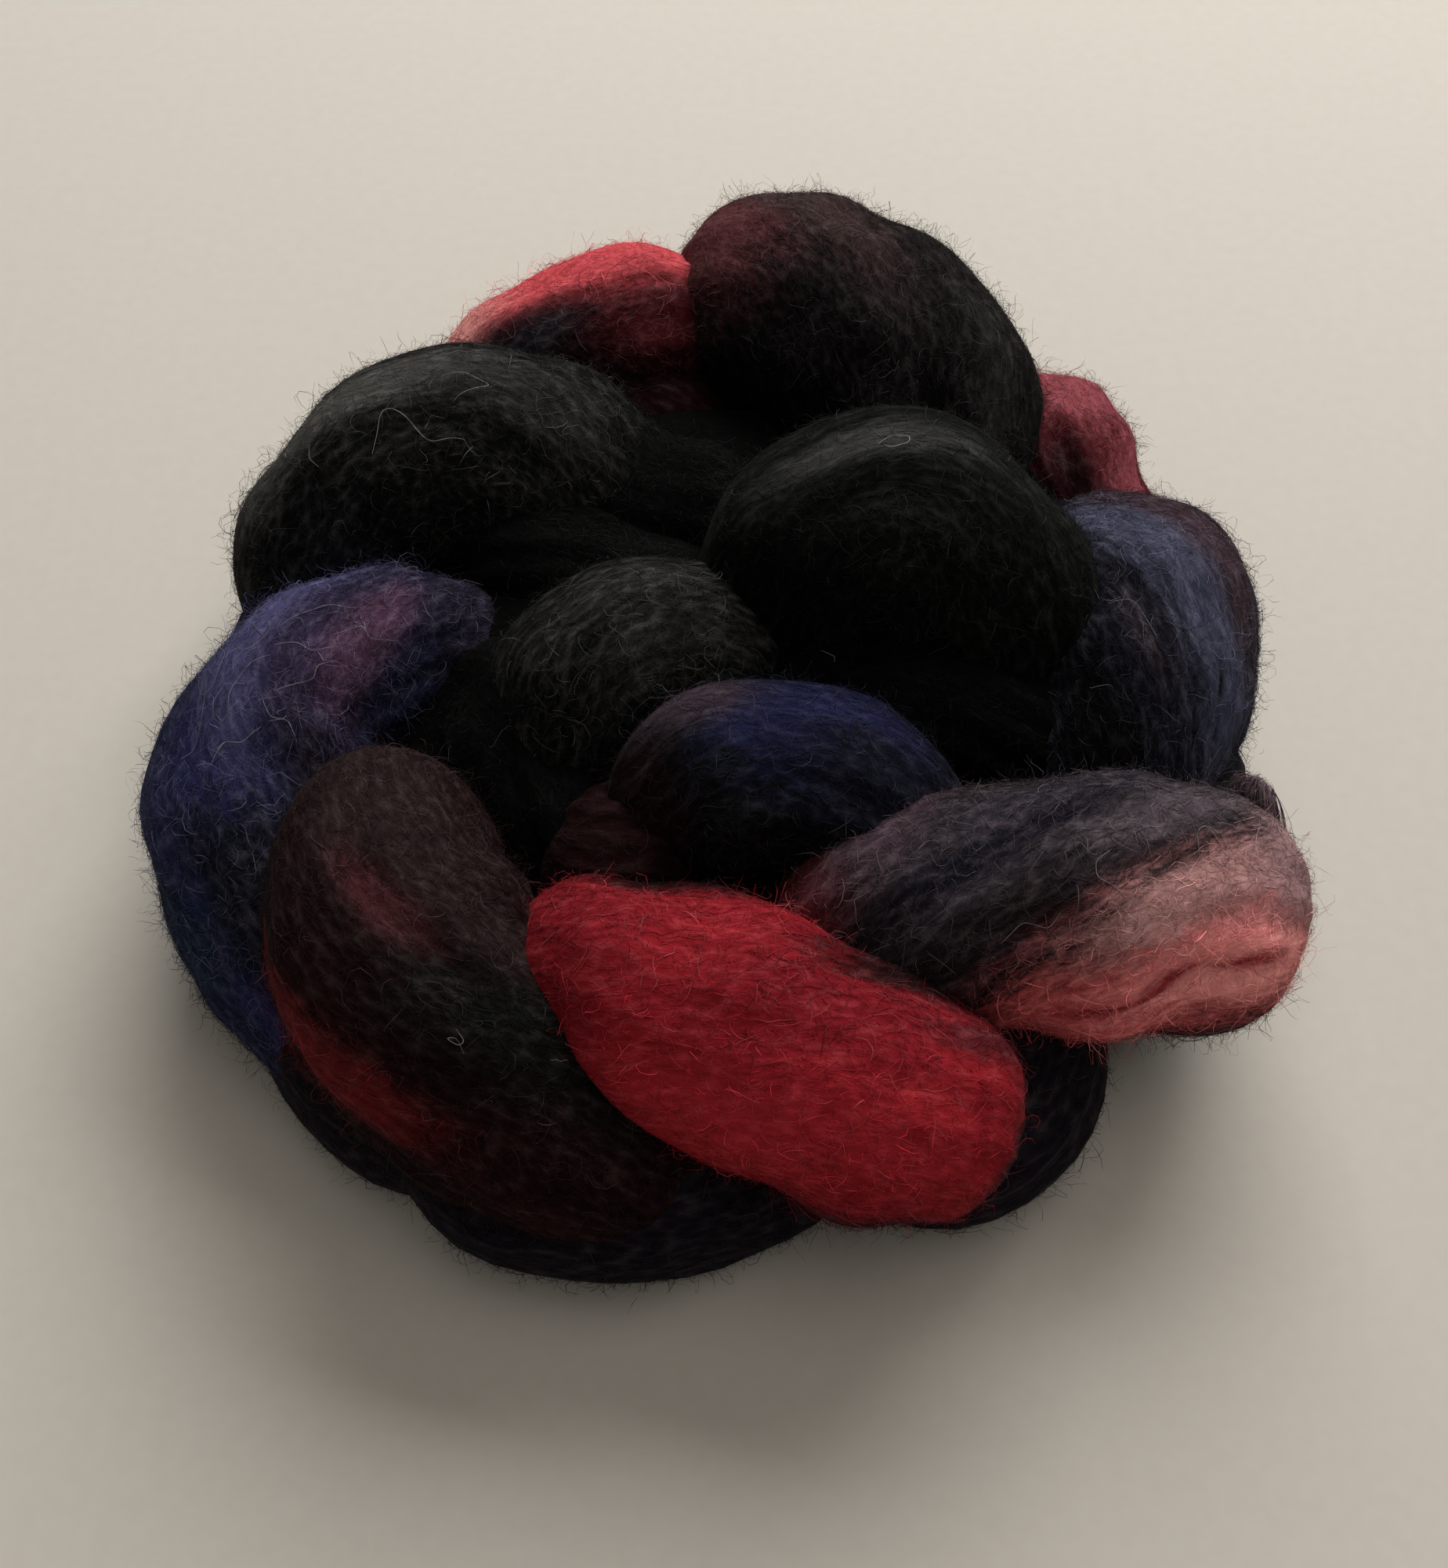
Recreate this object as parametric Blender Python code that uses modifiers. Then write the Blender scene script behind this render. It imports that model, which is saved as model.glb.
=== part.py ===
"""A length of hand-dyed combed wool top, looped into a thick chain and coiled into a round bun.

The bun is one soft solid. Each leg of a chain loop shows as one fat fold of the strand, and the
folds lie over each other round the bun like the petals of a rose. Metres, +Z up, the flat
underside at z = 0, the middle of the bun over the origin, its front towards -Y.
"""

import math
from collections import namedtuple

import bmesh
import bpy
from mathutils import Matrix, Vector

MM = 0.001

# Driving sizes, in millimetres.
SETTLE = 2.6          # how much of the lowest wool is pressed flat by the table
FLATTEN = 0.88        # height of a fold's section as a share of its width
CORE_CENTRE = (0.0, -4.0, 21.0)
CORE_RADII = (66.0, 70.0, 15.0)
TABLE = 300.0         # side of the block that cuts the underside flat

# How finely a fold is drawn.
STATIONS = 19         # sections along one fold
SECTION_POINTS = 20   # corners round one section
END_ROUNDNESS = 4.0   # higher keeps the fold's full width closer to its ends
TIP = 0.12            # the last section's size as a share of the fold's width
VOXEL = 2.4 * MM
SMOOTHING = 2
KEPT_FACES = 0.17     # share of the fused surface's triangles that is kept

# One row for each fold: where its middle line starts, crests and ends, and how wide it is there.
Fold = namedtuple("Fold", "name start crest end widths")

OUTER_FOLDS = (
    Fold("back", (-5, 104, 20), (28, 77, 33), (53, 35, 24), (38, 50, 40)),
    Fold("back_left", (-60, 60, 16), (-28, 83, 25), (4, 88, 22), (26, 34, 34)),
    Fold("left_upper", (-82, 6, 18), (-54, 42, 32), (-6, 30, 22), (30, 44, 40)),
    Fold("left", (-38, 6, 28), (-77, -22, 27), (-58, -79, 14), (32, 38, 32)),
    Fold("front_left", (-50, -27, 32), (-46, -68, 31), (-3, -98, 18), (38, 42, 35)),
    Fold("front", (-31, -58, 32), (9, -78, 33), (46, -91, 21), (34, 42, 40)),
    Fold("right_front", (10, -61, 32), (54, -54, 33), (96, -54, 23), (32, 42, 48)),
    Fold("right", (70, 38, 16), (78, 3, 28), (60, -36, 24), (32, 42, 36)),
    Fold("back_right", (62, 80, 14), (71, 56, 18), (76, 28, 16), (22, 28, 26)),
)
INNER_FOLDS = (
    Fold("middle_back", (2, -5, 30), (33, 14, 42), (60, -12, 30), (38, 48, 38)),
    Fold("middle_left", (-31, -33, 26), (-16, -8, 36), (14, -6, 32), (26, 33, 30)),
    Fold("middle_front", (-15, -42, 32), (11, -34, 37), (41, -48, 30), (28, 36, 28)),
    Fold("middle_tuck", (-24, -40, 25), (-14, -44, 30), (0, -42, 28), (20, 26, 20)),
    Fold("middle_low", (0, -14, 22), (34, -12, 29), (64, -26, 22), (28, 34, 28)),
    Fold("hollow", (-40, 60, 14), (-12, 34, 25), (16, 26, 24), (30, 36, 30)),
    Fold("hollow_low", (-48, 22, 20), (-26, 18, 27), (6, 8, 24), (24, 30, 26)),
    Fold("pit", (-44, -2, 22), (-33, -22, 27), (-26, -50, 24), (26, 28, 24)),
)
UNDER_FOLDS = (
    Fold("under_front_left", (-66, -44, 18), (-55, -71, 13), (-16, -91, 12), (34, 34, 28)),
    Fold("under_front", (-48, -70, 19), (-20, -93, 13), (28, -79, 12), (28, 33, 26)),
    Fold("under_right_front", (10, -78, 19), (41, -82, 13), (57, -50, 12), (26, 34, 26)),
    Fold("under_right", (50, -46, 19), (79, -24, 13), (72, 28, 12), (28, 33, 26)),
    Fold("under_back_right", (62, 4, 19), (68, 44, 13), (34, 78, 12), (28, 33, 28)),
    Fold("under_back", (48, 48, 19), (20, 83, 13), (-30, 80, 12), (28, 34, 28)),
    Fold("under_back_left", (2, 66, 19), (-42, 68, 13), (-72, 30, 12), (28, 33, 28)),
    Fold("under_left", (-44, 44, 19), (-76, 10, 13), (-77, -38, 12), (28, 32, 28)),
    Fold("under_middle_left", (-30, 34, 19), (-50, -2, 14), (-34, -46, 13), (28, 34, 28)),
    Fold("under_middle_front", (-38, -18, 19), (-12, -54, 14), (36, -48, 13), (28, 34, 28)),
    Fold("under_middle_right", (10, -42, 19), (48, -10, 14), (42, 32, 13), (28, 34, 28)),
    Fold("under_middle_back", (38, 14, 19), (6, 48, 14), (-36, 30, 13), (28, 34, 28)),
    Fold("under_heart", (-22, 12, 16), (2, 2, 13), (20, -22, 16), (28, 36, 28)),
)


def clear_scene():
    for item in list(bpy.data.objects):
        bpy.data.objects.remove(item, do_unlink=True)


def new_collection(name):
    collection = bpy.data.collections.new(name)
    bpy.context.scene.collection.children.link(collection)
    return collection


def combed_wool():
    material = bpy.data.materials.new("dyed_combed_wool")
    material.use_nodes = True
    shader = material.node_tree.nodes["Principled BSDF"]
    shader.inputs["Base Color"].default_value = (0.045, 0.022, 0.034, 1.0)
    shader.inputs["Roughness"].default_value = 0.9
    shader.inputs["Metallic"].default_value = 0.0
    shader.inputs["Sheen Weight"].default_value = 0.4
    return material


def through(start, crest, end, t):
    """The point at t on the parabola that runs through the three, the crest at its middle."""
    ahead = (1.0 - t) * (1.0 - 2.0 * t)
    middle = 4.0 * t * (1.0 - t)
    behind = t * (2.0 * t - 1.0)
    return [a * ahead + b * middle + c * behind for a, b, c in zip(start, crest, end)]


def fold_stations(fold):
    """Points and half widths along a fold, closer together towards its round ends."""
    for i in range(STATIONS):
        along = -math.cos(math.pi * i / (STATIONS - 1))
        t = 0.5 + 0.5 * along
        width = through(*[(w,) for w in fold.widths], t)[0]
        rounding = (1.0 - abs(along) ** END_ROUNDNESS) ** 0.5
        yield through(fold.start, fold.crest, fold.end, t), 0.5 * width * max(rounding, TIP)


def section_outline(collection):
    """The flattened round that each fold is drawn with, of half width 1."""
    outline = bpy.data.curves.new("section", "CURVE")
    outline.dimensions = "2D"
    spline = outline.splines.new("POLY")
    spline.points.add(SECTION_POINTS - 1)
    spline.use_cyclic_u = True
    for i, point in enumerate(spline.points):
        turn = 2.0 * math.pi * i / SECTION_POINTS
        point.co = (math.cos(turn), FLATTEN * math.sin(turn), 0.0, 1.0)
    guide = bpy.data.objects.new("section", outline)
    guide.hide_render = True
    guide.display_type = "WIRE"
    collection.objects.link(guide)
    return guide


def swept_fold(fold, outline, collection):
    """A fold as a closed mesh: the section swept along the fold's middle line."""
    line = bpy.data.curves.new(fold.name, "CURVE")
    line.dimensions = "3D"
    line.twist_mode = "Z_UP"
    line.bevel_mode = "OBJECT"
    line.bevel_object = outline
    line.use_fill_caps = True
    spline = line.splines.new("POLY")
    spline.points.add(STATIONS - 1)
    for point, (place, half_width) in zip(spline.points, fold_stations(fold)):
        point.co = (*(Vector(place) * MM), 1.0)
        point.radius = half_width * MM
    guide = bpy.data.objects.new(fold.name, line)
    collection.objects.link(guide)
    graph = bpy.context.evaluated_depsgraph_get()
    mesh = bpy.data.meshes.new_from_object(guide.evaluated_get(graph))
    bpy.data.objects.remove(guide, do_unlink=True)
    return mesh


def gather(mesh, whole):
    """Adds a closed mesh to the whole, its caps welded and its faces turned outward."""
    part = bmesh.new()
    part.from_mesh(mesh)
    bmesh.ops.remove_doubles(part, verts=part.verts, dist=1e-6)
    bmesh.ops.recalc_face_normals(part, faces=part.faces)
    part.to_mesh(mesh)
    part.free()
    whole.from_mesh(mesh)
    bpy.data.meshes.remove(mesh)


def core_mesh():
    """The wool hidden between the upper and the lower folds."""
    core = bmesh.new()
    bmesh.ops.create_uvsphere(core, u_segments=32, v_segments=16, radius=1.0)
    for vert in core.verts:
        vert.co = [MM * (c + r * v) for c, r, v in zip(CORE_CENTRE, CORE_RADII, vert.co)]
    mesh = bpy.data.meshes.new("core")
    core.to_mesh(mesh)
    core.free()
    return mesh


def fused_folds(outline, guides):
    """All the folds and the core as one surface, on a guide object."""
    whole = bmesh.new()
    for fold in OUTER_FOLDS + INNER_FOLDS + UNDER_FOLDS:
        gather(swept_fold(fold, outline, guides), whole)
    gather(core_mesh(), whole)
    mesh = bpy.data.meshes.new("folds")
    whole.to_mesh(mesh)
    whole.free()
    heap = bpy.data.objects.new("folds", mesh)
    guides.objects.link(heap)

    fuse = heap.modifiers.new("fuse the folds", "REMESH")
    fuse.mode = "VOXEL"
    fuse.voxel_size = VOXEL
    soften = heap.modifiers.new("soften the creases", "SMOOTH")
    soften.iterations = SMOOTHING
    lighten = heap.modifiers.new("fewer faces", "DECIMATE")
    lighten.ratio = KEPT_FACES
    return heap


def placed_bun(heap, collection):
    """The fused surface over the origin, SETTLE below the table, as the object that is kept."""
    graph = bpy.context.evaluated_depsgraph_get()
    mesh = bpy.data.meshes.new_from_object(heap.evaluated_get(graph))
    bpy.data.objects.remove(heap, do_unlink=True)
    lowest = [min(vert.co[axis] for vert in mesh.vertices) for axis in range(3)]
    highest = [max(vert.co[axis] for vert in mesh.vertices) for axis in range(3)]
    middle = [0.5 * (low + high) for low, high in zip(lowest, highest)]
    underside = lowest[2] + SETTLE * MM
    mesh.transform(Matrix.Translation((-middle[0], -middle[1], -underside)))
    mesh.name = "wool_roving"
    roving = bpy.data.objects.new("wool_roving", mesh)
    collection.objects.link(roving)
    return roving


def table_cutter(guides):
    """A block whose top is the table."""
    bpy.ops.mesh.primitive_cube_add(size=TABLE * MM, location=(0.0, 0.0, -0.5 * TABLE * MM))
    cutter = bpy.context.active_object
    cutter.name = "table"
    for owner in list(cutter.users_collection):
        owner.objects.unlink(cutter)
    guides.objects.link(cutter)
    cutter.hide_render = True
    cutter.display_type = "WIRE"
    return cutter


def settle_on_table(roving, cutter):
    cut = roving.modifiers.new("flat underside", "BOOLEAN")
    cut.operation = "DIFFERENCE"
    cut.solver = "EXACT"
    cut.object = cutter


def main():
    clear_scene()
    parts = new_collection("wool_roving")
    guides = new_collection("guides")
    guides.hide_render = True
    heap = fused_folds(section_outline(guides), guides)
    roving = placed_bun(heap, parts)
    settle_on_table(roving, table_cutter(guides))
    roving.data.materials.append(combed_wool())
    roving.data.shade_smooth()


main()
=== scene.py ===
import math
from collections import namedtuple

import bpy
import numpy as np
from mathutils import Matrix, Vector


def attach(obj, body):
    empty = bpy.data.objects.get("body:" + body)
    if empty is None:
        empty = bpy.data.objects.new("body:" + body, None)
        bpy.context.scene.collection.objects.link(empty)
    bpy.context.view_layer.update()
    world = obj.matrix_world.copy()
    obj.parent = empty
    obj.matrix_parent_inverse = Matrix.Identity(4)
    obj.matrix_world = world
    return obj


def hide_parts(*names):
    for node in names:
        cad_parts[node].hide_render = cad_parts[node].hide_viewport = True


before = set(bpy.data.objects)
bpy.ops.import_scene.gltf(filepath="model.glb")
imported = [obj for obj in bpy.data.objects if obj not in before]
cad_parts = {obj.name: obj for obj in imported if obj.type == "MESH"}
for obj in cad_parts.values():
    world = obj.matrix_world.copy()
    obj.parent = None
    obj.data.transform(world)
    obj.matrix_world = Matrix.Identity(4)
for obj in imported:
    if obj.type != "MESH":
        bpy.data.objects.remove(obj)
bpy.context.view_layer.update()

MM = 0.001

# A length of dyed combed wool, looped into a thick chain and coiled into a bun. Each fold of the
# strand is a soft surface of its own, with fibres that lie on it, stand off it and curl over it.

# The lay of the bun, as in the part's source: each fold of the strand is swept along a curve
# through three points, in millimetres, and has a width at each of them.
FLATTEN = 0.88         # height of a fold's section as a share of its width
END_ROUNDNESS = 4.0    # higher keeps the fold's full width closer to its ends
LAY = (-1.21, -2.56, 0.2)   # brings the middle of the coil over the origin
CORE_CENTRE = (0.0, -4.0, 21.0)
CORE_RADII = (66.0, 70.0, 15.0)

Fold = namedtuple("Fold", "name start crest end widths")

OUTER_FOLDS = (
    Fold("back", (-5, 104, 20), (28, 77, 33), (53, 35, 24), (38, 50, 40)),
    Fold("back_left", (-60, 60, 16), (-28, 83, 25), (4, 88, 22), (26, 34, 34)),
    Fold("left_upper", (-82, 6, 18), (-54, 42, 32), (-6, 30, 22), (30, 44, 40)),
    Fold("left", (-38, 6, 28), (-77, -22, 27), (-58, -79, 14), (32, 38, 32)),
    Fold("front_left", (-50, -27, 32), (-46, -68, 31), (-3, -98, 18), (38, 42, 35)),
    Fold("front", (-31, -58, 32), (9, -78, 33), (46, -91, 21), (34, 42, 40)),
    Fold("right_front", (10, -61, 32), (54, -54, 33), (96, -54, 23), (32, 42, 48)),
    Fold("right", (70, 38, 16), (78, 3, 28), (60, -36, 24), (32, 42, 36)),
    Fold("back_right", (62, 80, 14), (71, 56, 18), (76, 28, 16), (22, 28, 26)),
)
INNER_FOLDS = (
    Fold("middle_back", (2, -5, 30), (33, 14, 42), (60, -12, 30), (38, 48, 38)),
    Fold("middle_left", (-31, -33, 26), (-16, -8, 36), (14, -6, 32), (26, 33, 30)),
    Fold("middle_front", (-15, -42, 32), (11, -34, 37), (41, -48, 30), (28, 36, 28)),
    Fold("middle_tuck", (-24, -40, 25), (-14, -44, 30), (0, -42, 28), (20, 26, 20)),
    Fold("middle_low", (0, -14, 22), (34, -12, 29), (64, -26, 22), (28, 34, 28)),
    Fold("hollow", (-40, 60, 14), (-12, 34, 25), (16, 26, 24), (30, 36, 30)),
    Fold("hollow_low", (-48, 22, 20), (-26, 18, 27), (6, 8, 24), (24, 30, 26)),
    Fold("pit", (-44, -2, 22), (-33, -22, 27), (-26, -50, 24), (26, 28, 24)),
)
UNDER_FOLDS = (
    Fold("under_front_left", (-66, -44, 18), (-55, -71, 13), (-16, -91, 12), (34, 34, 28)),
    Fold("under_front", (-48, -70, 19), (-20, -93, 13), (28, -79, 12), (28, 33, 26)),
    Fold("under_right_front", (10, -78, 19), (41, -82, 13), (57, -50, 12), (26, 34, 26)),
    Fold("under_right", (50, -46, 19), (79, -24, 13), (72, 28, 12), (28, 33, 26)),
    Fold("under_back_right", (62, 4, 19), (68, 44, 13), (34, 78, 12), (28, 33, 28)),
    Fold("under_back", (48, 48, 19), (20, 83, 13), (-30, 80, 12), (28, 34, 28)),
    Fold("under_back_left", (2, 66, 19), (-42, 68, 13), (-72, 30, 12), (28, 33, 28)),
    Fold("under_left", (-44, 44, 19), (-76, 10, 13), (-77, -38, 12), (28, 32, 28)),
    Fold("under_middle_left", (-30, 34, 19), (-50, -2, 14), (-34, -46, 13), (28, 34, 28)),
    Fold("under_middle_front", (-38, -18, 19), (-12, -54, 14), (36, -48, 13), (28, 34, 28)),
    Fold("under_middle_right", (10, -42, 19), (48, -10, 14), (42, 32, 13), (28, 34, 28)),
    Fold("under_middle_back", (38, 14, 19), (6, 48, 14), (-36, 30, 13), (28, 34, 28)),
    Fold("under_heart", (-22, 12, 16), (2, 2, 13), (20, -22, 16), (28, 36, 28)),
)
FOLDS = OUTER_FOLDS + INNER_FOLDS + UNDER_FOLDS
# The under folds that show round the foot of the bun.
RIM = ("under_front_left", "under_front", "under_right_front", "under_right",
       "under_back_right", "under_back", "under_back_left", "under_left")

# How the fibres of a fold lean off its line, in degrees, at its start and at its end.
# A fold that isn't here has its fibres straight along it.
LEAN = {
    "back": (8, 26),
    "left_upper": (0, 26),
    "left": (-32, -8),
    "front_left": (-32, 0),
    "front": (-26, -14),
    "right_front": (-20, -32),
    "right": (-24, -42),
}

# The dyes of the braid, as the eye sees them on a lit lock. A few entries are not dyes but painted
# highlight or painted shade, as noted where they are used.
DYES = {
    "deep_black_and_shade": "#060606",
    "black": "#0d0d0d",
    "warm_black": "#110e0f",
    "green_black": "#0a0c0b",
    "ink": "#101118",
    "rim_highlight_grey": "#444442",
    "dim_rim_highlight_grey": "#373736",
    "faded_coral": "#8b444c",
    "night_blue": "#1b1d3c",
    "slate_black": "#15151f",
    "smoky_lilac": "#4c444b",
    "slate": "#2e2a32",
    "navy": "#171a30",
    "blue": "#272d50",
    "teal_navy": "#15263c",
    "lavender_blue": "#48476c",
    "stone_blue": "#434559",
    "dusk_blue": "#292c55",
    "plum_black": "#16131a",
    "umber": "#281c1d",
    "russet_grey": "#392a2a",
    "dusty_plum": "#3b2a30",
    "mauve_grey": "#44343d",
    "mauve": "#50374c",
    "oxblood": "#1b0a0b",
    "maroon": "#521a20",
    "brick": "#4e262b",
    "red": "#8a1c25",
    "bright_red": "#b02a34",
    "coral_red": "#ca4f57",
    "faded_red": "#dc9894",
    "salmon_red": "#cc5459",
    "salmon": "#ea8f8e",
    "faded_salmon": "#f7a5a2",
    "pale_salmon": "#a97d7b",
    "dusty_pink": "#957678",
    "rust": "#5c3034",
    "rim_red": "#661c20",
    "deep_red": "#78161f",
    "streak_red": "#9a2c34",
    "grey_pink_highlight": "#3a2f37",
    "blue_black": "#12131f",
    "violet_black": "#1c1826",
    "smoke": "#222221",
    "wine": "#240c0f",
    "peat": "#211b1d",
    "plum_brown": "#1f191d",
    "dusky_plum": "#322941",
}

# The main dye of each fold.
MAIN_DYE = {
    "back": "warm_black",
    "back_left": "oxblood",
    "left_upper": "black",
    "left": "navy",
    "front_left": "oxblood",
    "front": "red",
    "right_front": "plum_brown",
    "right": "slate_black",
    "back_right": "maroon",
    "middle_back": "green_black",
    "middle_left": "black",
    "middle_front": "black",
    "middle_tuck": "oxblood",
    # The folds deep in the hollow are the deepest black: black dye, deepened as painted shade in
    # the recess.
    "middle_low": "deep_black_and_shade",
    "hollow": "deep_black_and_shade",
    "hollow_low": "deep_black_and_shade",
    "pit": "deep_black_and_shade",
    "under_front_left": "plum_black",
    "under_front": "plum_black",
    "under_right_front": "plum_black",
    "under_right": "ink",
    "under_back_right": "plum_black",
    "under_back": "black",
    "under_back_left": "oxblood",
    "under_left": "ink",
    # The hidden folds under the middle are the same deepest black, partly as painted shade deep in
    # the bun.
    "under_middle_left": "deep_black_and_shade",
    "under_middle_front": "deep_black_and_shade",
    "under_middle_right": "deep_black_and_shade",
    "under_middle_back": "deep_black_and_shade",
    "under_heart": "deep_black_and_shade",
}

# The loose fibre that mats the surface of a fold and took hardly any dye: how much of it
# there is, and its colour. Its pale haze also serves as painted sheen where the light grazes the
# wool, and the folds deep in the hollow get next to none of it, as painted shade.
Loose = namedtuple("Loose", "share colour")

LOOSE_WOOL_AND_SHEEN = {
    "back": Loose(0.6, "#8b8688"),
    "back_left": Loose(0.8, "#93868a"),
    "left_upper": Loose(0.92, "#8a8888"),
    "left": Loose(1.25, "#868199"),
    "front_left": Loose(0.48, "#8f8485"),
    "front": Loose(0.65, "#b8848a"),
    "right_front": Loose(1.05, "#968689"),
    "right": Loose(1.1, "#87869c"),
    "back_right": Loose(0.7, "#a08488"),
    "middle_back": Loose(0.42, "#868987"),
    "middle_left": Loose(1.1, "#888888"),
    "middle_front": Loose(0.45, "#828098"),
    "middle_tuck": Loose(0.25, "#8f8486"),
    # The folds deep in the hollow get next to none, as painted shade.
    "middle_low": Loose(0.15, "#8b8688"),
    "hollow": Loose(0.05, "#8b8688"),
    "hollow_low": Loose(0.1, "#8b8688"),
    "pit": Loose(0.15, "#8b8688"),
    "elsewhere": Loose(0.5, "#8b8688"),
}

# Where other dyes were poured on, and where painted shade or a painted highlight is laid, as said
# at each: how far along the fold (0 to 1), how far round it from its top in degrees (more is to
# the right of its run), and the splash's length and breadth in mm.
Splash = namedtuple("Splash", "fold along around length breadth dye")

SPLASHES = (
    Splash("back", 0.15, 12, 40, 42, "rust"),
    Splash("back", 0.36, -14, 40, 16, "russet_grey"),
    Splash("back", 0.80, -22, 30, 9, "smoke"),
    # Near-black spot in the dent there: black dye with painted shade.
    Splash("back", 0.80, 17, 16, 8, "deep_black_and_shade"),
    Splash("back_left", 0.60, -50, 90, 38, "coral_red"),
    Splash("back_left", 0.20, -46, 28, 20, "faded_red"),
    # A dark streak, widened as painted shade along the edge where the left upper fold lies over
    # this one.
    Splash("back_left", 0.37, 24, 34, 14, "plum_black"),
    Splash("back_left", 0.80, 44, 34, 18, "maroon"),
    # Painted highlight: grey along the top of the fold, where it catches the light.
    Splash("left_upper", 0.42, -26, 60, 14, "rim_highlight_grey"),
    Splash("left_upper", 0.69, -6, 34, 16, "smoke"),
    Splash("left_upper", 0.14, 34, 26, 20, "ink"),
    # Painted shade where the end of the fold sinks into the dark hollow.
    Splash("left_upper", 0.94, 0, 26, 60, "deep_black_and_shade"),
    Splash("left", 0.50, 24, 40, 22, "dusk_blue"),
    Splash("left", 0.34, 27, 44, 17, "lavender_blue"),
    Splash("left", 0.66, 62, 44, 20, "blue"),
    Splash("left", 0.72, 60, 26, 14, "teal_navy"),
    Splash("left", 0.33, -18, 40, 20, "dusky_plum"),
    Splash("left", 0.23, -20, 32, 12, "mauve"),
    # Painted shade on the side that faces the front left fold.
    Splash("left", 0.56, -38, 36, 12, "violet_black"),
    Splash("left", 0.04, 5, 20, 50, "violet_black"),
    # Dark navy, spread wider to paint the shade on the side towards the front left fold.
    Splash("left", 0.73, -4, 42, 28, "ink"),
    Splash("left", 0.88, 30, 14, 8, "dusk_blue"),
    Splash("front_left", 0.20, 0, 44, 34, "umber"),
    Splash("front_left", 0.44, -26, 30, 14, "umber"),
    Splash("front_left", 0.38, 5, 20, 7, "brick"),
    Splash("front_left", 0.66, -8, 46, 20, "green_black"),
    Splash("front_left", 0.49, 68, 32, 12, "rim_red"),
    Splash("front_left", 0.80, 64, 30, 9, "wine"),
    Splash("front", 0.06, 0, 34, 60, "deep_red"),
    Splash("front", 0.50, 60, 66, 22, "bright_red"),
    # Painted shade: deeper red on the fold's upper middle.
    Splash("front", 0.60, -8, 30, 12, "deep_red"),
    # Painted shade along the top edge where the fold tucks under, beside the dent there.
    Splash("front", 0.25, -64, 44, 9, "oxblood"),
    # These two paint the shadow that the right front fold casts on this fold's upper edge.
    Splash("front", 0.71, -46, 34, 12, "oxblood"),
    Splash("front", 0.86, -30, 18, 8, "maroon"),
    Splash("front", 0.84, 100, 30, 12, "plum_black"),
    Splash("front", 0.99, 60, 8, 40, "plum_black"),
    Splash("right_front", 0.06, -16, 18, 26, "maroon"),
    Splash("right_front", 0.22, -30, 20, 20, "mauve_grey"),
    Splash("right_front", 0.48, -26, 44, 20, "slate"),
    Splash("right_front", 0.34, 12, 22, 10, "slate"),
    Splash("right_front", 0.30, 8, 26, 3.4, "blue_black"),
    Splash("right_front", 0.38, -8, 30, 3.0, "blue_black"),
    Splash("right_front", 0.52, -20, 22, 2.6, "blue_black"),
    Splash("right_front", 0.44, 14, 26, 5.0, "plum_brown"),
    Splash("right_front", 0.70, -22, 30, 12, "smoky_lilac"),
    Splash("right_front", 0.64, 64, 60, 32, "salmon_red"),
    Splash("right_front", 0.76, 44, 44, 24, "salmon"),
    Splash("right_front", 0.72, 16, 40, 13, "pale_salmon"),
    Splash("right_front", 0.92, -12, 18, 28, "dusty_pink"),
    Splash("right_front", 0.80, 52, 30, 11, "faded_salmon"),
    Splash("right_front", 0.67, 57, 11, 3.8, "streak_red"),
    Splash("right_front", 0.55, 77, 14, 3.6, "streak_red"),
    Splash("right_front", 0.81, 46, 10, 3.2, "streak_red"),
    Splash("right_front", 0.62, 68, 9, 2.8, "streak_red"),
    # A thin dark rim along the fold's outer underside.
    Splash("right_front", 0.80, 114, 50, 5, "ink"),
    Splash("right", 0.42, -4, 58, 20, "stone_blue"),
    Splash("right", 0.68, -44, 30, 12, "stone_blue"),
    Splash("right", 0.34, -28, 36, 16, "dusty_plum"),
    Splash("right", 0.86, 6, 44, 26, "deep_black_and_shade"),
    Splash("right", 0.62, 8, 20, 8, "peat"),
    # These three thin lines are painted shade in the furrows that the dents press into the fold.
    Splash("right", 0.68, -22, 34, 2.2, "ink"),
    Splash("right", 0.66, -37, 24, 1.6, "ink"),
    Splash("right", 0.64, 0, 30, 2.2, "ink"),
    Splash("back_right", 0.28, -16, 28, 30, "faded_coral"),
    Splash("back_right", 0.78, -46, 24, 12, "faded_coral"),
    Splash("back_right", 0.74, 20, 22, 10, "wine"),
    # Painted highlight: grey along the top of the fold, where it catches the light.
    Splash("middle_back", 0.44, -18, 22, 8, "dim_rim_highlight_grey"),
    # Painted shade on the lower left of the fold, over its black.
    Splash("middle_back", 0.26, 16, 30, 22, "deep_black_and_shade"),
    # The first of these two is a painted highlight: grey along the top of the fold, where it
    # catches the light.
    Splash("middle_left", 0.56, -18, 24, 8, "smoke"),
    Splash("middle_left", 0.60, 30, 30, 14, "smoke"),
    Splash("middle_front", 0.54, -14, 30, 26, "night_blue"),
    Splash("middle_front", 0.66, 6, 24, 14, "blue_black"),
    # Painted highlight: pink-tinged grey where the top left of the fold catches the light.
    Splash("middle_front", 0.25, -38, 16, 14, "grey_pink_highlight"),
    Splash("middle_front", 0.10, 10, 12, 30, "oxblood"),
    Splash("under_back_left", 0.08, -8, 24, 16, "wine"),
    Splash("under_front_left", 0.50, 40, 36, 5, "maroon"),
)

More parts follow.
